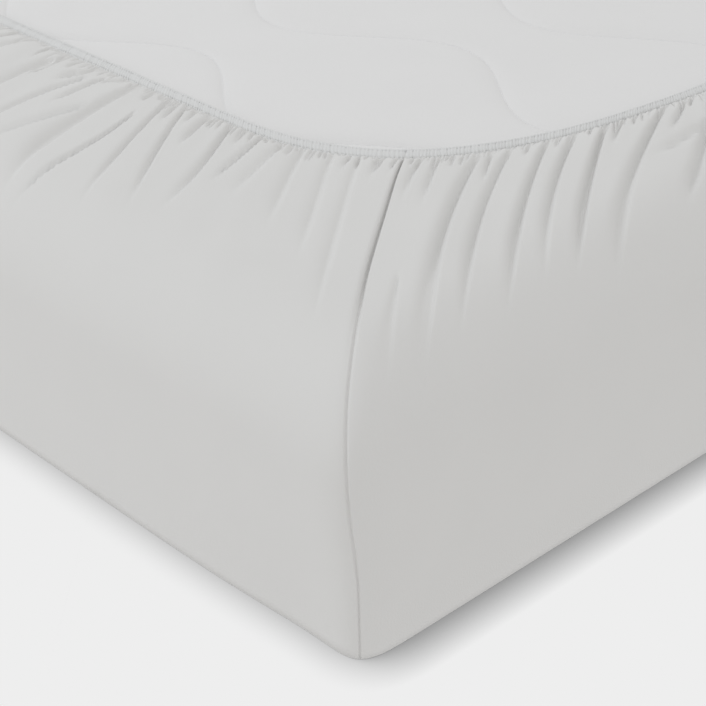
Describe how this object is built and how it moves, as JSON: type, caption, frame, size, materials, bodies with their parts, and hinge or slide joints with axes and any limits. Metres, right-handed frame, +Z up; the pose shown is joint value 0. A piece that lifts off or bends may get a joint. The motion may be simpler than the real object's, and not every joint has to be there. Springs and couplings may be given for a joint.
{
  "type": "fitted sheet on a mattress",
  "caption": "Fitted sheet with a gathered elastic edge, pulled over an upturned double mattress with wavy quilting on its underside",
  "frame": {"origin": "on the floor, under the middle of the sheet's underside panel", "axes": "+Z up; +Y along the mattress's 2.0 m length; +X across its 1.4 m width"},
  "size_m": [1.4, 2, 0.2247],
  "materials": {
    "sheet_cloth": "soft matt cotton jersey, very light grey",
    "elastic": "puckered elastic edging with two rows of stitches, very light grey",
    "mattress_cover": "white quilted ticking with wavy stitched channels"
  },
  "bodies": {
    "root": {"fitted_sheet": "sheet_cloth", "elastic_edging": "elastic", "mattress": "mattress_cover"}
  },
  "joints": []
}
